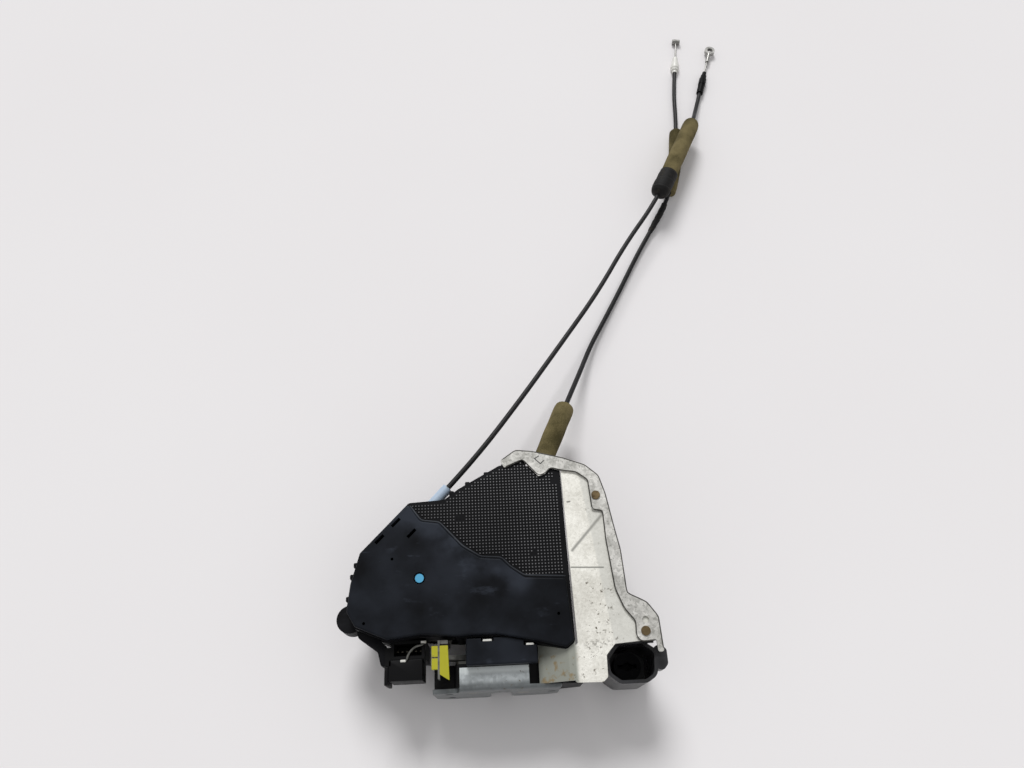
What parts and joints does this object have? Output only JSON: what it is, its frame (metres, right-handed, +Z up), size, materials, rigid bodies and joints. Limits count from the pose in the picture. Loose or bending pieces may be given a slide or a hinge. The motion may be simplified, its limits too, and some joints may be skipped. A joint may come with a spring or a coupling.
{
  "type": "door latch actuator",
  "caption": "Power door latch with moulded case, steel guard, striker mouth, key funnel, wiring socket and two Bowden cables with foam sleeves.",
  "frame": {"origin": "middle of the latch's footprint without its cables, on the surface that it lies on", "axes": "+X along the case from the wiring side to the key funnel, +Y away from the latch face towards the cables, +Z up, out of the door"},
  "size_m": [0.3264, 0.5843, 0.0595],
  "materials": {
    "case_black": "satin moulded polyamide, waffled on the panel",
    "cover_black": "satin moulded cover",
    "body_black": "moulded glass-filled polyamide",
    "screw_steel": "zinc-plated screw",
    "zinc_plate": "bright zinc plate",
    "pin_steel": "plain steel pin",
    "ratchet_steel": "hardened steel, greased",
    "overmould": "elastomer overmould",
    "bumper_rubber": "rubber",
    "yellow_clip": "yellow acetal",
    "blue_lever": "blue acetal",
    "wheel_white": "natural acetal",
    "motor_can": "drawn steel can",
    "galvanised": "galvanised sheet, speckled with wear",
    "grey_zinc": "grey zinc-plated sheet",
    "rivet_brass": "tarnished rivet",
    "rotor_grey": "dark acetal",
    "terminal_tin": "tinned blade",
    "blue_ferrule": "light blue moulded ferrule",
    "white_ferrule": "natural moulded ferrule",
    "casing": "extruded sheath",
    "foam": "closed-cell foam tube",
    "wire_steel": "stranded wire with cast end"
  },
  "bodies": {
    "case": {"main_case": "case_black", "front_cover": "cover_black", "rear_cover": "case_black", "cover_screws": "screw_steel", "latch_body": "body_black", "latch_liner": "body_black", "base_plate": "zinc_plate", "back_plate": "zinc_plate", "latch_top_cover": "cover_black", "mouth_bumper": "bumper_rubber", "ratchet_pin": "pin_steel", "pawl_pin": "pin_steel", "release_lever_pin": "pin_steel", "link_lever_pin": "pin_steel", "lock_motor": "motor_can", "motor_bearing": "case_black", "guard_plate": "galvanised", "guard_frame": "grey_zinc", "guard_rivets": "rivet_brass", "key_funnel": "body_black", "connector_shell": "body_black", "connector_terminals": "terminal_tin", "release_gland": "blue_ferrule", "lock_gland": "body_black", "release_casing": "casing", "lock_casing": "casing", "release_foam": "foam", "lock_foam_outer": "foam", "lock_foam_inner": "foam", "release_end_ferrule": "body_black", "lock_end_ferrule": "white_ferrule"},
    "ratchet": {"ratchet": "ratchet_steel", "ratchet_overmould": "overmould"},
    "pawl": {"pawl": "ratchet_steel"},
    "open_lever": {"open_lever": "zinc_plate", "open_lever_clip": "yellow_clip"},
    "release_lever": {"release_lever": "zinc_plate"},
    "link_lever": {"link_lever": "zinc_plate"},
    "lock_lever": {"lock_lever": "blue_lever", "worm_wheel": "wheel_white"},
    "motor_worm": {"motor_worm": "pin_steel"},
    "key_rotor": {"key_rotor": "rotor_grey"},
    "release_wire_inner": {"release_wire_inner": "wire_steel"},
    "release_wire_outer": {"release_wire_outer": "wire_steel"},
    "lock_wire_inner": {"lock_wire_inner": "wire_steel"},
    "lock_wire_outer": {"lock_wire_outer": "wire_steel"}
  },
  "joints": [
    {"name": "ratchet_turn", "type": "hinge", "parent": "case", "child": "ratchet", "pos_m": [0.0135, -0.065, 0.025], "axis": [0, 1, 0], "range_deg": [0, 50], "stiffness_Nm_per_rad": 0.02, "springref_deg": -28.65},
    {"name": "release_turn", "type": "hinge", "parent": "case", "child": "release_lever", "pos_m": [-0.031, -0.03, 0.0345], "axis": [0, 0, -1], "range_deg": [0, 9], "stiffness_Nm_per_rad": 0.15, "springref_deg": -17.19},
    {"name": "open_lever_turn", "type": "hinge", "parent": "case", "child": "open_lever", "pos_m": [-0.017, -0.054, 0.036], "axis": [0, -1, 0], "range_deg": [0, 13.5]},
    {"name": "pawl_turn", "type": "hinge", "parent": "case", "child": "pawl", "pos_m": [-0.017, -0.067, 0.036], "axis": [0, -1, 0], "range_deg": [0, 13.5]},
    {"name": "release_wire_in", "type": "slide", "parent": "case", "child": "release_wire_inner", "axis": [0.6823, 0.7311, 0], "range_m": [0, 0.00923]},
    {"name": "release_wire_out", "type": "slide", "parent": "case", "child": "release_wire_outer", "axis": [0.3149, 0.9491, 0], "range_m": [0, 0.00923]},
    {"name": "lock_turn", "type": "hinge", "parent": "case", "child": "lock_lever", "pos_m": [-0.0472, -0.0082, 0.041], "axis": [0, 0, -1], "range_deg": [0, 23]},
    {"name": "link_turn", "type": "hinge", "parent": "case", "child": "link_lever", "pos_m": [-0.02, 0.026, 0.027], "axis": [0, 0, 1], "range_deg": [0, 24]},
    {"name": "worm_spin", "type": "hinge", "parent": "case", "child": "motor_worm", "pos_m": [-0.0472, -0.02319, 0.048], "axis": [1, 0, 0], "range_deg": [0, 690.03]},
    {"name": "lock_wire_in", "type": "slide", "parent": "case", "child": "lock_wire_inner", "axis": [0.4138, 0.9104, 0], "range_m": [0, 0.01262]},
    {"name": "lock_wire_out", "type": "slide", "parent": "case", "child": "lock_wire_outer", "axis": [0.1663, 0.9861, 0], "range_m": [0, 0.01262]},
    {"name": "key_turn", "type": "hinge", "parent": "case", "child": "key_rotor", "pos_m": [0.0785, -0.061, 0.012], "axis": [0, 0, 1], "range_deg": [-45, 45], "stiffness_Nm_per_rad": 0.01}
  ],
  "couplings": [
    {"joint": "open_lever_turn", "follows": "release_turn", "ratio": 1.5},
    {"joint": "pawl_turn", "follows": "release_turn", "ratio": 1.5},
    {"joint": "release_wire_in", "follows": "release_turn", "m_per_rad": 0.058463},
    {"joint": "release_wire_out", "follows": "release_turn", "m_per_rad": 0.058463},
    {"joint": "link_turn", "follows": "lock_turn", "ratio": 1.0434},
    {"joint": "worm_spin", "follows": "lock_turn", "ratio": 30},
    {"joint": "lock_wire_in", "follows": "lock_turn", "m_per_rad": 0.031323},
    {"joint": "lock_wire_out", "follows": "lock_turn", "m_per_rad": 0.031323}
  ]
}
